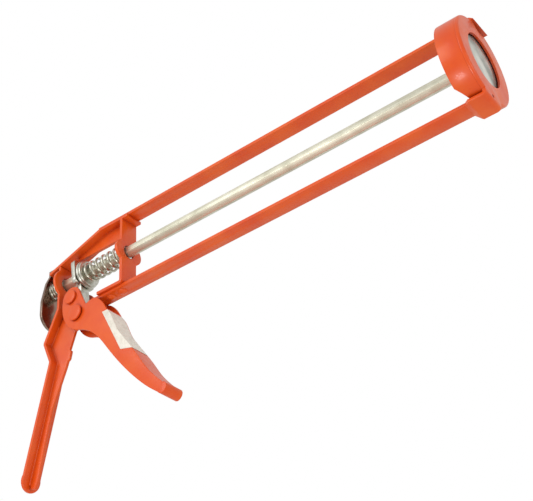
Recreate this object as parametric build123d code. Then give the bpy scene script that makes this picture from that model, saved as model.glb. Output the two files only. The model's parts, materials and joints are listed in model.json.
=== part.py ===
from build123d import *
from math import asin, atan2, cos, degrees, hypot, radians, sin, tan
import os

# Skeleton caulking gun for 310 ml cartridges, in millimetres.
# +X points forward along the push rod, +Z up, +Y to the gun's left.
# The origin is the centre of the nozzle opening, on the front plate's front face.

# Front end
STEEL = 2.0                      # thickness of every strap
CUP_R = 27.0
CUP_WALL = 1.5
CUP_REAR_X = -14.0
NOZZLE_R = 16.35
NOZZLE_T = 1.2                   # plate thickness left round the opening
FLOOR_HOLE_R = 19.5              # cup floor's hole, and the recess behind the opening
NECK_W = 17.0                    # strap width under the cup
NECK_GAP = 0.3                   # cup to strap
NECK_BEND = 1.6                  # centre-line bend radius
PLATE_EDGE_R = 1.5               # rounding of the front plate's rim
JOGGLE_REAR_X = -13.5
JOGGLE_FRONT_X = -10.5
RELIEF_R = 24.0                  # hollow in the cup's rear edge beside the strap
RELIEF_X = -33.0
SCALLOP_R = 8.3
SCALLOP_Y = 4.0                  # centre of the bite under the upper neck
SCALLOP_Z = 31.2
UPPER_NECK_Y = (-4.5, 12.0)
UPPER_NECK_X = 1.2               # its sheared front edge stands a little proud
VENT_R = 1.0
VENT_Z = -25.6

# Rails
RAIL_W = 10.0
RAIL_IN = 25.4                   # half the clear height between the rails
LOWER_RAIL_END = -281.0
UPPER_RAIL_END = -275.0
RIVET_X = (-257.7, -267.3)
RIVET_R = 2.0
RIVET_HEAD_R = 3.4
RIVET_HEAD_T = 1.3

# Body bracket
BODY_W = 13.0
WALL_X = -252.7                  # front face of the guide wall
BOSS_R = 11.0                    # widening round the rod
BOSS_HALF_H = 8.5                # half its height on the guide wall
LIP = 4.0                        # top strip ahead of the guide wall
ROD_HOLE_R = 4.5
SLOPE_X = -272.0                 # the top strip falls from here
SLOPE_ANGLE = 17.1
TAB_X = -318.0
LUG_REAR_X = -274.0
BEND_R = 1.6
SPINE_T = 2.0                    # stiffening web under the top strip and in the handle
SPINE_LOW = 13.4                 # its lower edge beside the guide wall
SPINE_END = (-297.0, 13.6)       # where its lower edge runs out

# Rear wall and handle: centre-line of the back strip
REAR_X = -307.5                  # front face of the rear wall
HIP = (-308.5, -20.5)
KNEE = (-319.3, -42.2)
WAIST = (-313.0, -57.3)
FOOT = (-331.0, -129.4)
FOOT_R = 6.9
NICK_R = 0.9                     # nick beside the foot
NICK_UP = 6.0                    # foot's centre to the nick
STEP_OUT = 1.5                   # small tooth on the web's front edge

# Trigger
PIVOT = (-291.0, -31.8)
DRIVE = (-296.1, -17.8)
EAR_R = 7.0
TRIGGER_W = 14.0
TRIGGER_T = 1.5
HEAD_R = 7.4
PIN_R = 3.0
DRIVE_PIN_R = 2.0
DRIVE_HEAD_R = 4.7
PIVOT_HEAD_R = 5.3
PIN_HEAD_T = 1.6
RUNNING = 0.05                   # radial play of a pin in a turning hole
SEATED = 0.02                    # radial play of a fixed pin
SIDE_PLAY = 0.3
SLEEVE_R = 2.6
SPACER_R = 4.6
LABEL_T = 0.2

# Push rod, grip plate and washers
ROD_AF = 6.6                     # across flats
ROD_R = ROD_AF / 2 / cos(radians(30))
ROD_REAR_X = -325.5
GRIP_TILT = 7.0
GRIP_T = 3.2
GRIP_W = 17.0
GRIP_TOP = 10.2
GRIP_LOW = -8.0
GRIP_CORNER = 3.0
TONGUE_W = 7.0
TONGUE_LOW = -22.0
GRIP_HOLE_R = 4.9
GRIP_PLAY = 0.3                  # sleeve to the grip plate
WASHER_R = 9.4
WASHER_STEP = 0.5                # the front washer is this much smaller
WASHER_T = 1.6
WASHER_X = -290.5
WASHER_PLAY = 0.4                # to the rod's corners

# Springs
MAIN_R = 5.9
MAIN_WIRE = 1.7
MAIN_TURNS = 6.5
LOCK_R = 5.0
LOCK_WIRE = 1.1
LOCK_TURNS = 4.5

# Lock lever
LEVER_X = -319.4                 # front face
LEVER_T = 2.0
LEVER_W = 20.0
LEVER_LOW = -30.0
LEVER_CORNER_Z = -21.0
LEVER_TOP = 15.2
LEVER_TOP_W = 8.0
LEVER_NECK_Z = 11.0              # the narrow top starts to widen below here
LEVER_WAIST_Z = 4.0
LEVER_WIDE_Z = -11.0
HOOK_T = 1.6
HOOK_LOW = 8.6
LEVER_HOLE_R = 4.6
HOOK_X = -313.6                  # front face of the hook's turned-down end
SLOT_PLAY = 0.8

# Plunger
CROWN_X = -1.4                   # fully forward, close behind the nozzle opening
CAP_R = 17.0                     # the shallow cap in the middle of the disc
CAP_RISE = 0.5
DOME_RISE = 7.7                  # crown to rim
DOME_R = 24.3
DOME_T = 1.2
RIM_T = 1.8                      # the dome's turned-back rim
BACKING_R = 22.0
BACKING_T = 1.5
STUD_R = 3.0
NUT_AF = 10.0
NUT_T = 4.0
STUD_PROUD = 0.8                 # stud beyond the nut
ROD_WASHER_R = 7.5


def top_z(x):
    """Height of the bracket's outer top face."""
    return RAIL_IN - max(0.0, SLOPE_X - x) * tan(radians(SLOPE_ANGLE))


def side_plate(outline, width, y=0.0):
    """Extrude closed XZ edges to a plate centred on y."""
    face = Plane.XZ * make_face(outline)
    return Pos(0, y, 0) * extrude(face, width / 2, both=True)


def strap(points, width, radius=BEND_R):
    """A flat strap bent along XZ centre-line points."""
    path = FilletPolyline(*points, radius=radius)
    return extrude(Plane.XZ * trace(path, STEEL), width / 2, both=True)


def disc(x_rear, x_front, radius, hole=0.0):
    """A disc across the rod axis."""
    body = Cylinder(radius, x_front - x_rear)
    if hole:
        body -= Cylinder(hole, x_front - x_rear)
    return Pos((x_rear + x_front) / 2, 0, 0) * Rot(0, 90, 0) * body


def across(centre, radius, width, y=0.0):
    """A cylinder along Y through an XZ point."""
    return Pos(centre[0], y, centre[1]) * Rot(90, 0, 0) * Cylinder(radius, width)


def upright(x, radius, z_low, z_high):
    """A cylinder along Z on the middle plane."""
    return Pos(x, 0, (z_low + z_high) / 2) * Cylinder(radius, z_high - z_low)


def block(x, y, z):
    """A box from three (low, high) pairs."""
    size = [pair[1] - pair[0] for pair in (x, y, z)]
    middle = [(pair[0] + pair[1]) / 2 for pair in (x, y, z)]
    return Pos(*middle) * Box(*size)


def both_ways(z_sign, low, high):
    """The (low, high) pair of a height range, mirrored when z_sign is -1."""
    return tuple(sorted((z_sign * low, z_sign * high)))


# ---- fixed frame ----

def front_cut():
    """What is removed from the front plate and the cup's floor alike."""
    depth = 2 * (STEEL + CUP_WALL)
    return Pos(0, SCALLOP_Y, SCALLOP_Z) * Rot(0, 90, 0) * Cylinder(SCALLOP_R, depth)


def rivet_holes(z_sign):
    """Shank holes through a rail and the bracket."""
    low, high = both_ways(z_sign, RAIL_IN - STEEL, RAIL_IN + STEEL)
    first, second = (upright(x, RIVET_R + SEATED, low, high) for x in RIVET_X)
    return first + second


def upper_neck():
    """Wide end of the strap over the cup, sheared to a slope at the front."""
    low = CUP_R + NECK_GAP
    side = Polyline(
        (JOGGLE_FRONT_X, low),
        (UPPER_NECK_X, low),
        (-STEEL / 2, low + STEEL),
        (JOGGLE_FRONT_X, low + STEEL),
        close=True,
    )
    width = UPPER_NECK_Y[1] - UPPER_NECK_Y[0]
    return side_plate(side, width, sum(UPPER_NECK_Y) / 2)


def make_frame_strap():
    """Bottom rail, round front plate and top rail from one strap."""
    rail_mid = RAIL_IN + STEEL / 2
    wrap_mid = CUP_R + NECK_GAP + STEEL / 2
    plate_mid = -STEEL / 2
    front = [
        (JOGGLE_REAR_X, -rail_mid),
        (JOGGLE_FRONT_X, -wrap_mid),
        (plate_mid, -wrap_mid),
    ]
    lower = [(LOWER_RAIL_END, -rail_mid)] + front
    upper = [(x, -z) for x, z in reversed(front)] + [(UPPER_RAIL_END, rail_mid)]
    body = strap(lower + upper, RAIL_W, NECK_BEND)
    neck = strap(lower + [(plate_mid, -NOZZLE_R)], NECK_W, NECK_BEND)
    half, rail_half = NECK_W / 2, RAIL_W / 2
    plan = Polyline(
        (JOGGLE_REAR_X, -rail_half),
        (JOGGLE_FRONT_X, -half),
        (1, -half),
        (1, half),
        (JOGGLE_FRONT_X, half),
        (JOGGLE_REAR_X, rail_half),
        close=True,
    )
    neck &= Pos(0, 0, -2 * CUP_R) * extrude(make_face(plan), 2 * CUP_R)
    plate = disc(-STEEL, 0, CUP_R)
    body += neck + fillet(plate.edges().sort_by(Axis.X)[-1], PLATE_EDGE_R)
    body -= disc(-STEEL - 1, 1, NOZZLE_R) + disc(-STEEL, -NOZZLE_T, FLOOR_HOLE_R)
    body -= Pos(0, 0, VENT_Z) * disc(-STEEL, 0, VENT_R)
    body -= front_cut()
    return body + upper_neck() - rivet_holes(1) - rivet_holes(-1)


def make_front_cup():
    """Pressed ring behind the front plate, with a narrow floor."""
    floor_x = -STEEL
    ring = disc(CUP_REAR_X, floor_x, CUP_R, CUP_R - CUP_WALL)
    ring += disc(floor_x - CUP_WALL, floor_x, CUP_R, FLOOR_HOLE_R)
    for sign in (1, -1):
        ring -= upright(RELIEF_X, RELIEF_R, *both_ways(sign, CUP_R / 2, CUP_R + 1))
    return ring - front_cut()


def bracket_strap():
    """Lower lug, guide wall, top strip, slope and lever tab from one strap."""
    half = STEEL / 2
    lug_mid = RAIL_IN - half
    points = [
        (LUG_REAR_X, -lug_mid),
        (WALL_X - half, -lug_mid),
        (WALL_X - half, lug_mid),
        (SLOPE_X, lug_mid),
        (TAB_X, top_z(TAB_X) - half / cos(radians(SLOPE_ANGLE))),
    ]
    return strap(points, BODY_W)


def make_body_bracket():
    """Bent strap with a round boss for the rod and a web under its top strip."""
    half = STEEL / 2
    boss_face = Plane.YZ.offset(WALL_X - half) * Ellipse(BOSS_R, BOSS_HALF_H)
    body = bracket_strap() + extrude(boss_face, half, both=True)
    wide = (-BODY_W / 2, BODY_W / 2)
    body += block((WALL_X - half, WALL_X + LIP), wide, (RAIL_IN - STEEL, RAIL_IN))
    spine = Polyline(
        (WALL_X - half, RAIL_IN - half),
        (WALL_X - half, SPINE_LOW),
        SPINE_END,
        (SPINE_END[0], top_z(SPINE_END[0]) - half),
        (SLOPE_X, RAIL_IN - half),
        close=True,
    )
    body += side_plate(spine, SPINE_T)
    body -= disc(WALL_X - 3 * STEEL, WALL_X + STEEL, ROD_HOLE_R)
    slot_half = LEVER_TOP_W / 2 + SLOT_PLAY / 2
    slot_x = (HOOK_X - LEVER_T - SLOT_PLAY, HOOK_X + SLOT_PLAY)
    body -= block(slot_x, (-slot_half, slot_half), (0, RAIL_IN))
    return body - rivet_holes(1) - rivet_holes(-1)


def make_rivets(z_sign):
    """Two rivets through a rail and the bracket, domed outside and flush inside."""
    group = []
    outer = RAIL_IN + STEEL
    inner = RAIL_IN - STEEL
    dome_r = (RIVET_HEAD_R**2 + RIVET_HEAD_T**2) / (2 * RIVET_HEAD_T)
    for x in RIVET_X:
        dome = Pos(x, 0, z_sign * (outer + RIVET_HEAD_T - dome_r)) * Sphere(dome_r)
        dome &= upright(x, RIVET_HEAD_R, *both_ways(z_sign, outer, outer + RIVET_HEAD_T))
        shank = upright(x, RIVET_R, *both_ways(z_sign, inner, outer + RIVET_HEAD_T / 2))
        group.append((dome + shank).solid())
    return group


def make_handle():
    """Rear wall, back strip, central web and rounded foot."""
    wall_mid = REAR_X - STEEL / 2
    body = strap([(wall_mid, top_z(wall_mid) - STEEL), HIP, KNEE, WAIST, FOOT], BODY_W, 2.0)
    body += disc(REAR_X - STEEL, REAR_X, BOSS_R)
    body -= bracket_strap()
    lean = degrees(atan2(WAIST[1] - FOOT[1], WAIST[0] - FOOT[0]))
    foot = Pos(FOOT[0], 0, FOOT[1]) * Rot(0, 180 - lean, 0)
    body += foot * Cylinder(FOOT_R, STEEL)
    for sign in (1, -1):
        body -= foot * Pos(NICK_UP, sign * BODY_W / 2, 0) * Cylinder(NICK_R, 2 * STEEL)
    web = Polyline(
        (HIP[0], HIP[1] - 3.5),
        KNEE,
        WAIST,
        (-331.0, -130.5),
        (-329.6, -135.0),
        (-326.0, -135.8),
        (-324.0, -131.0),
        (-320.3, -111.3),
        (-315.2, -87.8),
        (-304.4, -62.6),
        (-303.0, -58.6),
        (-303.0 + STEP_OUT, -57.6),
        (-301.8 + STEP_OUT, -52.2),
        (-301.8, -51.1),
        (-297.2, -39.0),
        (PIVOT[0] + EAR_R * 0.7, PIVOT[1] - EAR_R * 0.7),
        (PIVOT[0], PIVOT[1] + EAR_R),
        close=True,
    )
    body += side_plate(web, SPINE_T) + across(PIVOT, EAR_R, SPINE_T)
    body -= disc(REAR_X - 2 * STEEL, REAR_X + STEEL, ROD_HOLE_R)
    return body - across(PIVOT, PIN_R + SEATED, 2 * SPINE_T)


# ---- trigger group ----

FRONT_EDGE = [
    (-264.6, -40.2),
    (-259.8, -48.0),
    (-256.0, -57.0),
    (-251.0, -65.0),
    (-244.6, -74.2),
    (-238.2, -83.7),
    (-232.6, -92.7),
    (-226.8, -100.1),
    (-220.0, -107.4),
]
REAR_EDGE = [
    (-223.6, -112.6),
    (-232.8, -104.9),
    (-242.0, -95.4),
    (-252.5, -82.9),
    (-263.1, -68.4),
    (-269.9, -58.8),
    (-276.3, -51.9),
    (-283.1, -47.0),
    (-289.2, -44.4),
]


def sideways(points, distance):
    """The points of an open XZ line, moved to its right by a distance."""
    moved = []
    last = len(points) - 1
    for i, (x, z) in enumerate(points):
        before, after = points[max(i - 1, 0)], points[min(i + 1, last)]
        dx, dz = after[0] - before[0], after[1] - before[1]
        length = hypot(dx, dz)
        moved.append((x + dz / length * distance, z - dx / length * distance))
    return moved


def trigger_outline(grow=0.0):
    """Closed outline of the trigger's side plates, from the head round to the tip."""
    front = sideways(FRONT_EDGE, -grow)
    rear_x = DRIVE[0] - HEAD_R
    head = ThreePointArc(
        (rear_x, DRIVE[1]), (DRIVE[0], DRIVE[1] + HEAD_R), (DRIVE[0] + 6.6, DRIVE[1] + 3.3)
    )
    notch = Polyline(
        head @ 1, (-283.2, -28.0), (-281.8, -28.2), (-279.8, -27.1), (-275.8, -26.7)
    )
    brow = Spline(notch @ 1, (-271.2, -29.9), (-267.2, -35.2), front[0])
    finger = Spline(*front)
    tip = Spline(front[-1], (-217.2, -111.2), (-219.6, -114.0), REAR_EDGE[0])
    palm = Spline(*REAR_EDGE)
    cheek = Spline(REAR_EDGE[-1], (-296.6, -39.6), (-301.4, -32.6), (rear_x, DRIVE[1]))
    return [head, notch, brow, finger, tip, palm, cheek]


def make_trigger():
    """U-shaped trigger, open at the rear, with the front web under the fingers."""
    body = side_plate(trigger_outline(), TRIGGER_W)
    inner = sideways(FRONT_EDGE[:-1], TRIGGER_T)
    hollow = Polyline(
        (-264.0, -36.0),
        *inner,
        (-228.5, -106.0),
        (-236.0, -125.0),
        (-330.0, -125.0),
        (-330.0, 0.0),
        (-262.0, 0.0),
        close=True,
    )
    body -= side_plate(hollow, TRIGGER_W - 2 * TRIGGER_T)
    body -= across(PIVOT, PIN_R + RUNNING, 2 * TRIGGER_W)
    return body - across(DRIVE, DRIVE_PIN_R + SEATED, 2 * TRIGGER_W)


def make_label():
    """Thin sticker folded from the near plate round the front web."""
    over = TRIGGER_W / 2 + LABEL_T
    skin = side_plate(trigger_outline(LABEL_T), 2 * over)
    skin -= side_plate(trigger_outline(), TRIGGER_W)
    zone = Polyline(
        (-268.0, -41.0), (-252.2, -73.6), (-240.0, -77.0), (-238.0, -60.0), (-258.0, -41.0),
        close=True,
    )
    skin &= side_plate(zone, TRIGGER_W + 2, -2)
    return skin


def make_pin(centre, radius, head_r, head_gap):
    """A rivet pin along Y with a flat round head outside each side plate."""
    half = TRIGGER_W / 2 + head_gap
    pin = across(centre, radius, 2 * half)
    for sign in (1, -1):
        pin += across(centre, head_r, PIN_HEAD_T, sign * (half + PIN_HEAD_T / 2))
    return pin


def make_drive_sleeve():
    """Sleeve on the drive pin, between the trigger's plates."""
    length = TRIGGER_W - 2 * TRIGGER_T
    return across(DRIVE, SLEEVE_R, length) - across(DRIVE, DRIVE_PIN_R + SEATED, length)


def make_pivot_spacers():
    """A sleeve on each side of the handle's web, on the pivot pin."""
    inside = SPINE_T / 2
    outside = TRIGGER_W / 2 - TRIGGER_T - SIDE_PLAY
    length = outside - inside
    spacers = []
    for sign in (1, -1):
        y = sign * (inside + outside) / 2
        ring = across(PIVOT, SPACER_R, length, y) - across(PIVOT, PIN_R + SEATED, length, y)
        spacers.append(ring.solid())
    return spacers


# ---- grip group ----

def make_grip_plate():
    """Tilted plate that bites the rod, with a tongue down to the sleeve."""
    tilt = radians(GRIP_TILT)
    gap = SLEEVE_R + GRIP_PLAY
    rear_x = DRIVE[0] + (gap + DRIVE[1] * sin(tilt)) / cos(tilt)
    middle_x = rear_x + GRIP_T / 2 / cos(tilt)
    height = GRIP_TOP - GRIP_LOW
    face = Pos(0, (GRIP_TOP + GRIP_LOW) / 2) * RectangleRounded(GRIP_W, height, GRIP_CORNER)
    reach = GRIP_LOW - TONGUE_LOW
    face += Pos(0, (GRIP_LOW + TONGUE_LOW + 2) / 2) * Rectangle(TONGUE_W, reach + 2)
    face -= Circle(GRIP_HOLE_R)
    plane = Plane(origin=(middle_x, 0, 0), x_dir=(0, 1, 0), z_dir=(cos(tilt), 0, sin(tilt)))
    return extrude(plane * face, GRIP_T / 2, both=True)


def make_washer(index):
    """A flat washer between the grip plate and the main spring."""
    rear = WASHER_X + index * WASHER_T
    return disc(rear, rear + WASHER_T, WASHER_R - WASHER_STEP * index, ROD_R + WASHER_PLAY)


def make_spring(x_rear, x_front, radius, wire, turns):
    """Round-wire compression spring about the rod axis."""
    length = x_front - x_rear - wire
    start = (x_rear + wire / 2, 0, 0)
    path = Helix(length / turns, length, radius, center=start, direction=(1, 0, 0))
    return sweep((path ^ 0) * Circle(wire / 2), path, is_frenet=True)


# ---- rod group ----

def hexagon(x_rear, x_front, across_flats):
    """A hexagonal bar along the rod axis, one corner up."""
    face = RegularPolygon(across_flats / 2, 6, major_radius=False)
    plane = Plane(origin=(x_rear, 0, 0), x_dir=(0, 0, 1), z_dir=(1, 0, 0))
    return extrude(plane * face, x_front - x_rear)


def plunger_stack():
    """The x of each face of the plunger's parts, from the rod's shoulder forward."""
    rim = CROWN_X - DOME_RISE
    return {"rim": rim, "backing": rim - BACKING_T, "shoulder": rim - BACKING_T - WASHER_T}


def make_push_rod():
    """Hexagonal rod with a threaded stud at the front and a pointed rear end."""
    at = plunger_stack()
    rod = hexagon(ROD_REAR_X, at["shoulder"], ROD_AF)
    tip = Pos(ROD_REAR_X + ROD_R, 0, 0) * Rot(0, -90, 0) * Cone(2 * ROD_R, ROD_R / 2, 2 * ROD_R)
    keep = disc(ROD_REAR_X + ROD_R, CROWN_X, 2 * ROD_R) + tip
    return (rod & keep) + disc(at["shoulder"], at["rim"] + NUT_T + STUD_PROUD, STUD_R)


def make_plunger_washer():
    """Washer between the rod's shoulder and the backing disc."""
    at = plunger_stack()
    return disc(at["shoulder"], at["backing"], ROD_WASHER_R, STUD_R + SEATED)


def make_plunger_backing():
    """Flat disc that carries the dome."""
    at = plunger_stack()
    return disc(at["backing"], at["rim"], BACKING_R, STUD_R + SEATED)


def make_plunger_nut():
    """Nut inside the dome."""
    at = plunger_stack()
    nut = hexagon(at["rim"], at["rim"] + NUT_T, NUT_AF)
    return nut - disc(at["rim"], at["rim"] + NUT_T, STUD_R + SEATED)


def make_plunger_disc():
    """Pressed front disc: shallow cap, sloping skirt, rim turned back round the backing."""
    at = plunger_stack()
    ball_r = (CAP_R**2 + CAP_RISE**2) / (2 * CAP_RISE)
    centre_x = CROWN_X - ball_r
    inner_r = ball_r - DOME_T
    turn = asin(CAP_R / ball_r)
    arc = (0, turn / 2, turn)
    cap = ThreePointArc(*[(centre_x + ball_r * cos(a), ball_r * sin(a)) for a in arc])
    cap_in = ThreePointArc(
        *[(centre_x + inner_r * cos(a), inner_r * sin(a)) for a in reversed(arc)]
    )
    skirt = Polyline(
        cap @ 1,
        (at["rim"], DOME_R),
        (at["backing"], DOME_R),
        (at["backing"], DOME_R - RIM_T),
        (at["rim"], DOME_R - RIM_T),
        cap_in @ 0,
    )
    return revolve(make_face([cap, skirt, cap_in, Line(cap_in @ 1, cap @ 0)]), Axis.X)


# ---- lock lever ----

def make_lock_lever():
    """Release plate behind the rear wall, hooked through the tab's slot."""
    half, top_half = LEVER_W / 2, LEVER_TOP_W / 2
    waist = (top_half + half) / 2
    side = [
        (top_half, LEVER_TOP),
        (top_half, LEVER_NECK_Z),
        (waist, LEVER_WAIST_Z),
        (half, LEVER_WIDE_Z),
        (half, LEVER_CORNER_Z),
    ]
    left = [(-y, z) for y, z in side]
    sides = Polyline(*reversed(left), *side)
    foot = ThreePointArc(sides @ 1, (0, LEVER_LOW), sides @ 0)
    plane = Plane(origin=(LEVER_X, 0, 0), x_dir=(0, 1, 0), z_dir=(1, 0, 0))
    body = extrude(plane * make_face([sides, foot]), -LEVER_T)
    y_pair = (-top_half, top_half)
    body += block((LEVER_X - LEVER_T, HOOK_X), y_pair, (LEVER_TOP - HOOK_T, LEVER_TOP))
    body += block((HOOK_X - LEVER_T, HOOK_X), y_pair, (HOOK_LOW, LEVER_TOP))
    return body - disc(LEVER_X - 2 * LEVER_T, LEVER_X + LEVER_T, LEVER_HOLE_R)


def build():
    """Every node by name."""
    wall_rear = WALL_X - STEEL
    washer_front = WASHER_X + 2 * WASHER_T
    return {
        "frame_strap": make_frame_strap(),
        "front_cup": make_front_cup(),
        "body_bracket": make_body_bracket(),
        "upper_rivets": make_rivets(1),
        "lower_rivets": make_rivets(-1),
        "handle": make_handle(),
        "trigger": make_trigger(),
        "label": make_label(),
        "pivot_pin": make_pin(PIVOT, PIN_R, PIVOT_HEAD_R, SIDE_PLAY),
        "pivot_spacers": make_pivot_spacers(),
        "drive_pin": make_pin(DRIVE, DRIVE_PIN_R, DRIVE_HEAD_R, 0),
        "drive_sleeve": make_drive_sleeve(),
        "grip_plate": make_grip_plate(),
        "spring_washer_rear": make_washer(0),
        "spring_washer_front": make_washer(1),
        "main_spring": make_spring(washer_front, wall_rear, MAIN_R, MAIN_WIRE, MAIN_TURNS),
        "lock_spring": make_spring(LEVER_X, REAR_X - STEEL, LOCK_R, LOCK_WIRE, LOCK_TURNS),
        "lock_lever": make_lock_lever(),
        "push_rod": make_push_rod(),
        "plunger_disc": make_plunger_disc(),
        "plunger_backing": make_plunger_backing(),
        "plunger_nut": make_plunger_nut(),
        "plunger_washer": make_plunger_washer(),
    }


os.makedirs("parts", exist_ok=True)
for name, shape in build().items():
    solids = shape if isinstance(shape, list) else [shape.solid()]
    node = solids[0] if len(solids) == 1 else Compound(children=solids)
    export_step(node, f"parts/{name}.step")
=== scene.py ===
import json
from math import cos, pi, radians, sin

import bpy
from mathutils import Matrix, Vector


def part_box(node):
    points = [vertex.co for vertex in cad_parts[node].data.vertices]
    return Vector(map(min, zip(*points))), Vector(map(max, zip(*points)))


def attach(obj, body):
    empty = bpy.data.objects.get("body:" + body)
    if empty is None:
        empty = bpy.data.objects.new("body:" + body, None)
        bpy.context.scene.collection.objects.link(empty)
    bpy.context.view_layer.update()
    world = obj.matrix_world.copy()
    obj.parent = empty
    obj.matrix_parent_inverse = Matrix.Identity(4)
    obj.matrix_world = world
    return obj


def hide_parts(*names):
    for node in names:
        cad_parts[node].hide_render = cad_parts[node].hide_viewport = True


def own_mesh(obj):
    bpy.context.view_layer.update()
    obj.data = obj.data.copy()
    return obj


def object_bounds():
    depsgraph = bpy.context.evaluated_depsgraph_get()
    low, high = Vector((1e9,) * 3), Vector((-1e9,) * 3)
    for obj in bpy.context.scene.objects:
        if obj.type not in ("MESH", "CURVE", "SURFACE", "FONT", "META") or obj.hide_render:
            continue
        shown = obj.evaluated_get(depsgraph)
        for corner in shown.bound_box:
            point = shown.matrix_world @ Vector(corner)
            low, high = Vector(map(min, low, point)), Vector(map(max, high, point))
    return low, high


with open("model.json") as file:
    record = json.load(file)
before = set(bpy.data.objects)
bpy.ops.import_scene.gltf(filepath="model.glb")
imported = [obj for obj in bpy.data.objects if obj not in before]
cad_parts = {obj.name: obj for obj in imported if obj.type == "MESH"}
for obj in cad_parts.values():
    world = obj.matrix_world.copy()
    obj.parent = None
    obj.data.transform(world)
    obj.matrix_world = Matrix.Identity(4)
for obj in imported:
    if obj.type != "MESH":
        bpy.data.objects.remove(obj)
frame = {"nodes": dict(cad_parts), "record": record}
cad_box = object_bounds()

MM = 0.001
RECORD = frame["record"]
BODY_OF = {node: body for body, nodes in RECORD["behaviour"]["bodies"].items() for node in nodes}
SLOT_OF = {part["node"]: part["material_slot"] for part in RECORD["subparts"]}

# Camera: in front of the gun, to its right and below it
CAMERA_AT = Vector((136.9, -407.8, -404.7)) * MM
CAMERA_AZIMUTH = 34.9
CAMERA_ELEVATION = -35.5
CAMERA_ROLL = 4.6
CAMERA_LENS = 74.0
SENSOR_WIDTH = 36.0


def linear(colour):
    """sRGB hex to linear RGBA."""
    channels = [int(colour[i:i + 2], 16) / 255 for i in (1, 3, 5)]
    return [c / 12.92 if c <= 0.04045 else ((c + 0.055) / 1.055) ** 2.4 for c in channels] + [1.0]


def per_mm(size):
    """Texture scale, in metres of Object coordinates, for a pattern of this size in mm."""
    return 1 / (size * MM)


def add_node(tree, kind, settings=None, values=None, links=None):
    """Add a node, set its properties and sockets, and link its inputs."""
    node = tree.nodes.new(kind)
    for name, value in (settings or {}).items():
        setattr(node, name, value)
    for name, value in (values or {}).items():
        node.inputs[name].default_value = value
    for name, socket in (links or {}).items():
        tree.links.new(socket, node.inputs[name])
    return node


def start_material(name, **values):
    """A material with one Principled shader, and its Object coordinates."""
    material = bpy.data.materials.new(name)
    material.use_nodes = True
    tree = material.node_tree
    tree.nodes.clear()
    shader = add_node(tree, "ShaderNodeBsdfPrincipled", values=values)
    add_node(tree, "ShaderNodeOutputMaterial", links={"Surface": shader.outputs["BSDF"]})
    place = add_node(tree, "ShaderNodeTexCoord").outputs["Object"]
    return material, tree, shader, place


# ---- materials ----

def stoved_enamel():
    """Alkyd enamel, sprayed and stoved on mild steel.

    Glossy and a little uneven: faint orange peel, with painted shade that turns it deep red in
    recesses, corners and between parts.
    """
    material, tree, shader, place = start_material("stoved_enamel", **{
        "IOR": 1.5,
        "Specular IOR Level": 0.4,
        "Coat Weight": 0.15,
        "Coat Roughness": 0.1,
        "Coat IOR": 1.45,
    })
    cloud = add_node(
        tree, "ShaderNodeTexNoise",
        values={"Scale": per_mm(24), "Detail": 4.0, "Roughness": 0.6},
        links={"Vector": place},
    )
    film = add_node(
        tree, "ShaderNodeValToRGB", links={"Fac": cloud.outputs["Fac"]},
    )
    film.color_ramp.elements[0].position = 0.32
    film.color_ramp.elements[0].color = linear("#DE4A08")
    film.color_ramp.elements[1].position = 0.68
    film.color_ramp.elements[1].color = linear("#E85E12")
    # Painted shade: ambient occlusion darkens the enamel in recesses, corners and between parts.
    corner = add_node(
        tree, "ShaderNodeAmbientOcclusion",
        settings={"samples": 8}, values={"Distance": 9 * MM},
    )
    shade_amount = add_node(
        tree, "ShaderNodeMapRange",
        values={"From Min": 0.25, "From Max": 0.85, "To Min": 0.9, "To Max": 0.0},
        links={"Value": corner.outputs["AO"]},
    )
    painted_shade = add_node(
        tree, "ShaderNodeMix",
        settings={"data_type": "RGBA"},
        links={"Factor": shade_amount.outputs["Result"]},
    )
    # A colour mix has its two colours on sockets 6 and 7 and its result on output 2.
    # The deep red of the painted shade.
    painted_shade.inputs[7].default_value = linear("#A82203")
    tree.links.new(film.outputs["Color"], painted_shade.inputs[6])
    tree.links.new(painted_shade.outputs[2], shader.inputs["Base Color"])
    mottle = add_node(
        tree, "ShaderNodeTexNoise",
        values={"Scale": per_mm(7), "Detail": 3.0}, links={"Vector": place},
    )
    dull = add_node(
        tree, "ShaderNodeMapRange",
        values={"From Min": 0.3, "From Max": 0.7, "To Min": 0.28, "To Max": 0.42},
        links={"Value": mottle.outputs["Fac"]},
    )
    tree.links.new(dull.outputs["Result"], shader.inputs["Roughness"])
    # Real orange peel is about 0.7 mm across; it is drawn a little coarser.
    peel = add_node(
        tree, "ShaderNodeTexNoise",
        values={"Scale": per_mm(1.6), "Detail": 2.0}, links={"Vector": place},
    )
    bump = add_node(
        tree, "ShaderNodeBump",
        values={"Strength": 0.25, "Distance": 0.06 * MM}, links={"Height": peel.outputs["Fac"]},
    )
    tree.links.new(bump.outputs["Normal"], shader.inputs["Normal"])
    return material


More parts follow.
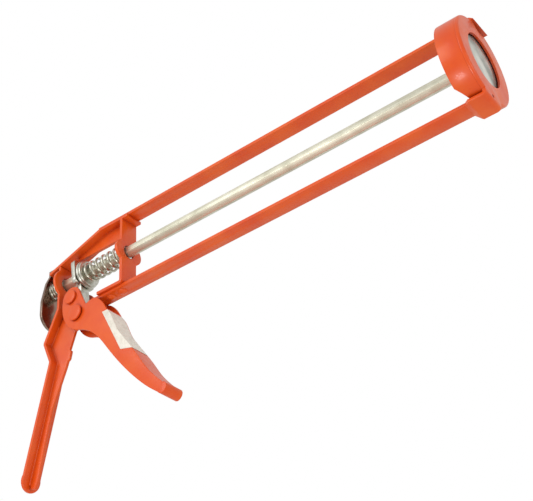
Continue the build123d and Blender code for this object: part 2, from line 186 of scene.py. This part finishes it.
def metal(name, light, dark, roughness, streak, blotch, bump_height):
    """A bare or plated steel whose streaks have the given size in mm along X, Y and Z."""
    material, tree, shader, place = start_material(name, Metallic=1.0)
    stretch = add_node(
        tree, "ShaderNodeMapping",
        values={"Scale": [per_mm(size) for size in streak]}, links={"Vector": place},
    )
    grain = add_node(
        tree, "ShaderNodeTexNoise",
        values={"Scale": 1.0, "Detail": 5.0, "Roughness": 0.65},
        links={"Vector": stretch.outputs["Vector"]},
    )
    cloud = add_node(
        tree, "ShaderNodeTexNoise",
        values={"Scale": per_mm(blotch), "Detail": 4.0}, links={"Vector": place},
    )
    both = add_node(
        tree, "ShaderNodeMath", settings={"operation": "ADD"},
    )
    tree.links.new(grain.outputs["Fac"], both.inputs[0])
    tree.links.new(cloud.outputs["Fac"], both.inputs[1])
    tone = add_node(
        tree, "ShaderNodeMapRange",
        values={"From Min": 0.7, "From Max": 1.3}, links={"Value": both.outputs["Value"]},
    )
    colour = add_node(tree, "ShaderNodeValToRGB", links={"Fac": tone.outputs["Result"]})
    colour.color_ramp.elements[0].color = linear(dark)
    colour.color_ramp.elements[1].color = linear(light)
    tree.links.new(colour.outputs["Color"], shader.inputs["Base Color"])
    dull = add_node(
        tree, "ShaderNodeMapRange",
        values={"To Min": roughness[1], "To Max": roughness[0]},
        links={"Value": tone.outputs["Result"]},
    )
    tree.links.new(dull.outputs["Result"], shader.inputs["Roughness"])
    bump = add_node(
        tree, "ShaderNodeBump",
        values={"Strength": 0.4, "Distance": bump_height * MM},
        links={"Height": grain.outputs["Fac"]},
    )
    tree.links.new(bump.outputs["Normal"], shader.inputs["Normal"])
    return material


def spun_zinc():
    """Zinc-plated pressed steel, with the faint rings that the press and polish left."""
    material, tree, shader, place = start_material("spun_zinc", Metallic=1.0)
    rings = add_node(
        tree, "ShaderNodeTexWave",
        settings={"wave_type": "RINGS", "rings_direction": "X"},
        values={"Scale": per_mm(14), "Distortion": 2.5, "Detail": 3.0, "Detail Scale": 2.0},
        links={"Vector": place},
    )
    cloud = add_node(
        tree, "ShaderNodeTexNoise",
        values={"Scale": per_mm(15), "Detail": 3.0}, links={"Vector": place},
    )
    colour = add_node(tree, "ShaderNodeValToRGB", links={"Fac": cloud.outputs["Fac"]})
    colour.color_ramp.elements[0].position = 0.3
    colour.color_ramp.elements[0].color = linear("#8F988F")
    colour.color_ramp.elements[1].position = 0.62
    colour.color_ramp.elements[1].color = linear("#ECECE2")
    tree.links.new(colour.outputs["Color"], shader.inputs["Base Color"])
    dull = add_node(
        tree, "ShaderNodeMapRange",
        values={"To Min": 0.3, "To Max": 0.42}, links={"Value": rings.outputs["Fac"]},
    )
    tree.links.new(dull.outputs["Result"], shader.inputs["Roughness"])
    bump = add_node(
        tree, "ShaderNodeBump",
        values={"Strength": 0.3, "Distance": 0.05 * MM}, links={"Height": rings.outputs["Fac"]},
    )
    tree.links.new(bump.outputs["Normal"], shader.inputs["Normal"])
    return material


def coated_paper():
    """Self-adhesive coated paper: off-white, slightly fibrous and handled."""
    material, tree, shader, place = start_material("coated_paper", IOR=1.45, Roughness=0.55)
    fibre = add_node(
        tree, "ShaderNodeTexNoise",
        values={"Scale": per_mm(3), "Detail": 6.0, "Roughness": 0.7}, links={"Vector": place},
    )
    colour = add_node(tree, "ShaderNodeValToRGB", links={"Fac": fibre.outputs["Fac"]})
    colour.color_ramp.elements[0].position = 0.3
    colour.color_ramp.elements[0].color = linear("#D8CFC0")
    colour.color_ramp.elements[1].position = 0.6
    colour.color_ramp.elements[1].color = linear("#F0EADD")
    tree.links.new(colour.outputs["Color"], shader.inputs["Base Color"])
    bump = add_node(
        tree, "ShaderNodeBump",
        values={"Strength": 0.3, "Distance": 0.08 * MM}, links={"Height": fibre.outputs["Fac"]},
    )
    tree.links.new(bump.outputs["Normal"], shader.inputs["Normal"])
    return material


ENAMEL = stoved_enamel()
# Drawn hexagon bar under bright zinc: long pale streaks along the bar.
ROD_ZINC = metal("drawn_zinc", "#EEEBD8", "#C4C1AC", (0.36, 0.5), (60, 1.2, 1.2), 9, 0.05)
# Barrel-plated zinc: even, bright, with fine tumbling marks.
BARREL_ZINC = metal("barrel_zinc", "#E2E1D6", "#B9B8AB", (0.26, 0.38), (2, 2, 2), 6, 0.03)
# Hard-drawn spring wire, bright from the die.
WIRE = metal("spring_wire", "#E4E1D3", "#A9A696", (0.2, 0.32), (1, 1, 1), 4, 0.02)
# Black nickel over polished steel: dark, brownish and mirror-like.
BLACK_NICKEL = metal("black_nickel", "#B8A090", "#7C675A", (0.16, 0.26), (14, 14, 30), 12, 0.02)
PRESSED_ZINC = spun_zinc()
PAPER = coated_paper()

FINISH = {
    "orange_enamel": ENAMEL,
    "zinc_plate": BARREL_ZINC,
    "bright_steel": BARREL_ZINC,
    "dark_steel": BLACK_NICKEL,
    "paper": PAPER,
}
OWN_FINISH = {
    "push_rod": ROD_ZINC,
    "plunger_disc": PRESSED_ZINC,
    "plunger_backing": PRESSED_ZINC,
}


# ---- pieces ----

MERGE_MM = 0.002
BEVEL_SEGMENTS = 3
SHARP_ANGLE = 35                 # degrees; edges sharper than this are rounded
SMOOTH_ANGLE = 38
STEPS_PER_TURN = 28
CLOSED_TURN = 0.6                # part of a turn that lies flat at each end of a spring


def select_only(piece):
    bpy.ops.object.select_all(action="DESELECT")
    piece.select_set(True)
    bpy.context.view_layer.objects.active = piece


def take_place(piece, node):
    """The finished piece rides where its CAD node does, and stands for it."""
    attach(piece, BODY_OF[node])
    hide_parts(node)


def apply_modifier(piece, kind, **settings):
    select_only(piece)
    modifier = piece.modifiers.new(kind.lower(), kind)
    for name, value in settings.items():
        setattr(modifier, name, value)
    bpy.ops.object.modifier_apply(modifier=modifier.name)


def softened(node, width):
    """A copy of a CAD node with its sharp edges rounded by a width in mm."""
    mesh = frame["nodes"][node].data.copy()
    piece = bpy.data.objects.new(f"{node}_finished", mesh)
    bpy.context.scene.collection.objects.link(piece)
    select_only(piece)
    bpy.ops.mesh.customdata_custom_splitnormals_clear()
    bpy.ops.object.mode_set(mode="EDIT")
    bpy.ops.mesh.select_all(action="SELECT")
    bpy.ops.mesh.remove_doubles(threshold=MERGE_MM * MM)
    bpy.ops.mesh.dissolve_limited(angle_limit=radians(0.8))
    bpy.ops.object.mode_set(mode="OBJECT")
    apply_modifier(
        piece, "BEVEL",
        width=width * MM, segments=BEVEL_SEGMENTS,
        limit_method="ANGLE", angle_limit=radians(SHARP_ANGLE),
    )
    bpy.ops.object.shade_smooth_by_angle(angle=radians(SMOOTH_ANGLE))
    mesh.materials.clear()
    mesh.materials.append(OWN_FINISH.get(node, FINISH[SLOT_OF[node]]))
    take_place(piece, node)


def coil(node, wire, turns):
    """A compression spring with closed ends, filling its CAD node's box."""
    low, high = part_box(node)
    radius = (high.z - low.z) / 2 - wire * MM / 2
    start, end = low.x + wire * MM / 2, high.x - wire * MM / 2
    lead = CLOSED_TURN * wire * MM
    pitch = (end - start - 2 * lead) / (turns - 2 * CLOSED_TURN)
    points = []
    for step in range(int(turns * STEPS_PER_TURN) + 1):
        turn = step / STEPS_PER_TURN
        if turn < CLOSED_TURN:
            x = start + wire * MM * turn
        elif turn > turns - CLOSED_TURN:
            x = end - wire * MM * (turns - turn)
        else:
            x = start + lead + pitch * (turn - CLOSED_TURN)
        points.append((x, radius * cos(2 * pi * turn), radius * sin(2 * pi * turn)))
    curve = bpy.data.curves.new(f"{node}_wire", "CURVE")
    curve.dimensions = "3D"
    curve.bevel_depth = wire * MM / 2
    curve.bevel_resolution = 4
    curve.use_fill_caps = True
    line = curve.splines.new("POLY")
    line.points.add(len(points) - 1)
    for point, place in zip(line.points, points):
        point.co = (*place, 1)
    piece = bpy.data.objects.new(f"{node}_finished", curve)
    bpy.context.scene.collection.objects.link(piece)
    select_only(piece)
    bpy.ops.object.convert(target="MESH")
    piece = bpy.context.object
    bpy.ops.object.shade_smooth()
    piece.data.materials.clear()
    piece.data.materials.append(WIRE)
    take_place(piece, node)
    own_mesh(piece)


# How far each piece's edges are rounded, in mm.
BEVEL_WIDTHS = {
    "frame_strap": 0.5,
    "front_cup": 0.4,
    "body_bracket": 0.5,
    "handle": 0.5,
    "trigger": 0.45,
    "upper_rivets": 0.25,
    "lower_rivets": 0.25,
    "pivot_pin": 0.45,
    "drive_pin": 0.45,
    "pivot_spacers": 0.3,
    "drive_sleeve": 0.2,
    "grip_plate": 0.5,
    "spring_washer_rear": 0.4,
    "spring_washer_front": 0.4,
    "lock_lever": 0.5,
    "push_rod": 0.35,
    "plunger_disc": 0.3,
    "plunger_backing": 0.3,
    "plunger_nut": 0.4,
    "plunger_washer": 0.3,
    "label": 0.05,
}
for node_name, bevel_width in BEVEL_WIDTHS.items():
    softened(node_name, bevel_width)

# Wire in mm and turns.
coil("main_spring", 1.7, 6.9)
coil("lock_spring", 1.1, 5.0)


# ---- studio ----

FLOOR_SIZE = 60                  # metres
FLOOR_DROP = 0.9                 # below the gun's lowest point


def softbox(name, target, direction, distance, size, radiance):
    """A square area light of the given radiance, off in a direction from its target."""
    light = bpy.data.lights.new(name, "AREA")
    light.size = size
    light.energy = radiance * pi * size * size
    holder = bpy.data.objects.new(name, light)
    bpy.context.scene.collection.objects.link(holder)
    away = Vector(direction).normalized()
    holder.location = target + away * distance
    holder.rotation_euler = away.to_track_quat("Z", "Y").to_euler()


def studio():
    """White surroundings, a pale floor well below the gun, and three softboxes."""
    world = bpy.data.worlds.new("white_room")
    bpy.context.scene.world = world
    world.use_nodes = True
    tree = world.node_tree
    tree.nodes.clear()
    seen = add_node(tree, "ShaderNodeBackground", values={"Color": (1, 1, 1, 1), "Strength": 1.0})
    lit = add_node(tree, "ShaderNodeBackground", values={"Color": (1, 1, 1, 1), "Strength": 0.72})
    ray = add_node(tree, "ShaderNodeLightPath")
    pick = add_node(tree, "ShaderNodeMixShader", links={"Fac": ray.outputs["Is Camera Ray"]})
    tree.links.new(lit.outputs["Background"], pick.inputs[1])
    tree.links.new(seen.outputs["Background"], pick.inputs[2])
    add_node(tree, "ShaderNodeOutputWorld", links={"Surface": pick.outputs["Shader"]})
    middle = (cad_box[0] + cad_box[1]) / 2
    # Near the side plates, from ahead of the front plate, and a small one for the cup's highlight.
    softbox("side_box", middle, (-0.35, -0.9, 0.3), 1.0, 0.6, 2.4)
    softbox("front_box", middle, (0.95, -0.2, -0.15), 1.0, 0.5, 2.2)
    softbox("spark_box", Vector(), (-0.25, -0.62, -0.74), 0.8, 0.16, 16.0)

    bpy.ops.object.select_all(action="DESELECT")
    bpy.ops.mesh.primitive_plane_add(size=FLOOR_SIZE, location=(0, 0, cad_box[0].z - FLOOR_DROP))
    floor = bpy.context.object
    floor.name = "floor"
    paint = start_material("pale_floor", **{"Base Color": linear("#F2F1EE"), "Roughness": 0.8})
    floor.data.materials.append(paint[0])


def camera():
    data = bpy.data.cameras.new("camera")
    data.lens = CAMERA_LENS
    data.sensor_width = SENSOR_WIDTH
    data.clip_start = 0.01
    data.clip_end = 20
    holder = bpy.data.objects.new("camera", data)
    bpy.context.scene.collection.objects.link(holder)
    turn, rise = radians(CAMERA_AZIMUTH), radians(CAMERA_ELEVATION)
    back = Vector((sin(turn) * cos(rise), -cos(turn) * cos(rise), sin(rise)))
    level = (-back).to_track_quat("-Z", "Y").to_matrix()
    holder.rotation_euler = (level @ Matrix.Rotation(radians(-CAMERA_ROLL), 3, "Z")).to_euler()
    holder.location = CAMERA_AT
    bpy.context.scene.camera = holder


studio()
camera()
bpy.context.scene.view_settings.view_transform = "Standard"
